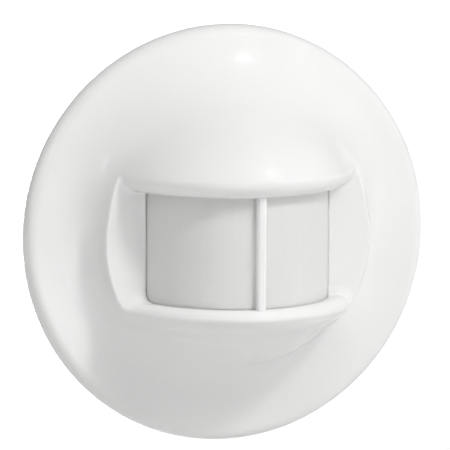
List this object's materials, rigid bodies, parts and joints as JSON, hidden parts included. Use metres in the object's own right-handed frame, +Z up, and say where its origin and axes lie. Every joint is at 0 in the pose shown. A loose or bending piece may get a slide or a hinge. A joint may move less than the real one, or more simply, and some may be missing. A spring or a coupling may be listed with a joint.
{
  "type": "motion sensor",
  "caption": "Round flush-mounted passive infrared motion sensor with a half-cylinder lens under a hooded pull-off cover.",
  "frame": {"origin": "centre of the box-screw pattern, on the cover's axis in the wall plane", "axes": "+Z up, +X to the viewer's right, +Y into the wall; the cover faces -Y"},
  "size_m": [0.08, 0.0522, 0.08],
  "materials": {
    "cover_gloss": "glossy moulded white",
    "lens_film": "translucent milky film with fine upright grooves",
    "frame_white": "satin moulded white",
    "housing_grey": "matt moulded light grey",
    "black_plastic": "matt moulded black",
    "dial_white": "satin moulded off-white",
    "zinc_steel": "bright zinc-plated pressed sheet",
    "screw_steel": "nickel-plated turned steel",
    "contact_brass": "tinned and bare brass",
    "board_green": "solder-mask green laminate",
    "can_nickel": "drawn nickel-plated can",
    "filter_dark": "dark polished infrared filter",
    "lens_clear": "clear cast resin",
    "led_red": "tinted cast resin",
    "relay_case": "satin moulded blue",
    "film_yellow": "satin moulded yellow",
    "sleeve_dark": "shrunk dark sleeve",
    "ceramic_blue": "dipped blue coating"
  },
  "bodies": {
    "base": {"support_ring": "zinc_steel", "claw_pins": "screw_steel", "rear_housing": "housing_grey", "rear_cover": "housing_grey", "chassis": "frame_white", "housing_screws": "screw_steel", "sensor_board": "board_green", "board_screws": "screw_steel", "pyro_can": "can_nickel", "pyro_window": "filter_dark", "pyro_holder": "black_plastic", "light_sensor": "lens_clear", "status_led": "led_red", "time_trimmer": "black_plastic", "light_trimmer": "black_plastic", "range_trimmer": "black_plastic", "microcontroller": "black_plastic", "header_block": "black_plastic", "header_pins": "contact_brass", "socket_strip": "black_plastic", "power_board": "board_green", "relay": "relay_case", "film_capacitor": "film_yellow", "storage_capacitor": "sleeve_dark", "choke": "black_plastic", "varistor": "ceramic_blue", "fuse": "black_plastic", "rectifier": "black_plastic", "terminal_block": "black_plastic", "contact_bars": "contact_brass"},
    "cover": {"front_cover": "cover_gloss", "lens": "lens_film", "lens_rib": "cover_gloss", "lens_retainer": "frame_white"},
    "time_dial": {"time_dial": "dial_white"},
    "light_dial": {"light_dial": "dial_white"},
    "range_dial": {"range_dial": "dial_white"},
    "upper_claw": {"upper_claw": "zinc_steel"},
    "lower_claw": {"lower_claw": "zinc_steel"},
    "upper_claw_screw": {"upper_claw_screw": "screw_steel"},
    "lower_claw_screw": {"lower_claw_screw": "screw_steel"},
    "upper_claw_nut": {"upper_claw_nut": "zinc_steel"},
    "lower_claw_nut": {"lower_claw_nut": "zinc_steel"},
    "terminal_cage_1": {"terminal_cage_1": "zinc_steel"},
    "terminal_cage_2": {"terminal_cage_2": "zinc_steel"},
    "terminal_cage_3": {"terminal_cage_3": "zinc_steel"},
    "terminal_screw_1": {"terminal_screw_1": "screw_steel"},
    "terminal_screw_2": {"terminal_screw_2": "screw_steel"},
    "terminal_screw_3": {"terminal_screw_3": "screw_steel"}
  },
  "joints": [
    {"name": "cover_pull", "type": "slide", "parent": "base", "child": "cover", "axis": [0, -1, 0], "range_m": [0, 0.035]},
    {"name": "time_turn", "type": "hinge", "parent": "base", "child": "time_dial", "pos_m": [-0.009, -0.0095, 0.0074], "axis": [0, -1, 0], "range_deg": [-135, 135]},
    {"name": "light_turn", "type": "hinge", "parent": "base", "child": "light_dial", "pos_m": [0, -0.0095, 0.0074], "axis": [0, -1, 0], "range_deg": [-135, 135]},
    {"name": "range_turn", "type": "hinge", "parent": "base", "child": "range_dial", "pos_m": [0.009, -0.0095, 0.0074], "axis": [0, -1, 0], "range_deg": [-135, 135]},
    {"name": "upper_claw_nut_draw", "type": "slide", "parent": "base", "child": "upper_claw_nut", "axis": [0, -1, 0], "range_m": [0, 0.003]},
    {"name": "upper_claw_screw_turn", "type": "hinge", "parent": "base", "child": "upper_claw_screw", "pos_m": [0, 0, 0.0265], "axis": [0, 1, 0], "range_deg": [0, 2401]},
    {"name": "upper_claw_spread", "type": "hinge", "parent": "base", "child": "upper_claw", "pos_m": [0, 0.0029, 0.0289], "axis": [1, 0, 0], "range_deg": [0, 28.1]},
    {"name": "lower_claw_nut_draw", "type": "slide", "parent": "base", "child": "lower_claw_nut", "axis": [0, -1, 0], "range_m": [0, 0.003]},
    {"name": "lower_claw_screw_turn", "type": "hinge", "parent": "base", "child": "lower_claw_screw", "pos_m": [0, 0, -0.0265], "axis": [0, 1, 0], "range_deg": [0, 2401]},
    {"name": "lower_claw_spread", "type": "hinge", "parent": "base", "child": "lower_claw", "pos_m": [0, 0.0029, -0.0289], "axis": [-1, 0, 0], "range_deg": [0, 28.1]},
    {"name": "clamp_cage_rise_1", "type": "slide", "parent": "base", "child": "terminal_cage_1", "axis": [0, 0, -1], "range_m": [0, 0.0022]},
    {"name": "clamp_screw_turn_1", "type": "hinge", "parent": "base", "child": "terminal_screw_1", "pos_m": [-0.008, 0.0198, -0.015], "axis": [0, 0, 1], "range_deg": [0, 1585]},
    {"name": "clamp_cage_rise_2", "type": "slide", "parent": "base", "child": "terminal_cage_2", "axis": [0, 0, -1], "range_m": [0, 0.0022]},
    {"name": "clamp_screw_turn_2", "type": "hinge", "parent": "base", "child": "terminal_screw_2", "pos_m": [0, 0.0198, -0.015], "axis": [0, 0, 1], "range_deg": [0, 1585]},
    {"name": "clamp_cage_rise_3", "type": "slide", "parent": "base", "child": "terminal_cage_3", "axis": [0, 0, -1], "range_m": [0, 0.0022]},
    {"name": "clamp_screw_turn_3", "type": "hinge", "parent": "base", "child": "terminal_screw_3", "pos_m": [0.008, 0.0198, -0.015], "axis": [0, 0, 1], "range_deg": [0, 1585]}
  ],
  "couplings": [
    {"joint": "upper_claw_screw_turn", "follows": "upper_claw_nut_draw", "rad_per_m": 13963},
    {"joint": "upper_claw_spread", "follows": "upper_claw_nut_draw", "rad_per_m": 162.9},
    {"joint": "lower_claw_screw_turn", "follows": "lower_claw_nut_draw", "rad_per_m": 13963},
    {"joint": "lower_claw_spread", "follows": "lower_claw_nut_draw", "rad_per_m": 162.9},
    {"joint": "clamp_screw_turn_1", "follows": "clamp_cage_rise_1", "rad_per_m": 12566},
    {"joint": "clamp_screw_turn_2", "follows": "clamp_cage_rise_2", "rad_per_m": 12566},
    {"joint": "clamp_screw_turn_3", "follows": "clamp_cage_rise_3", "rad_per_m": 12566}
  ]
}
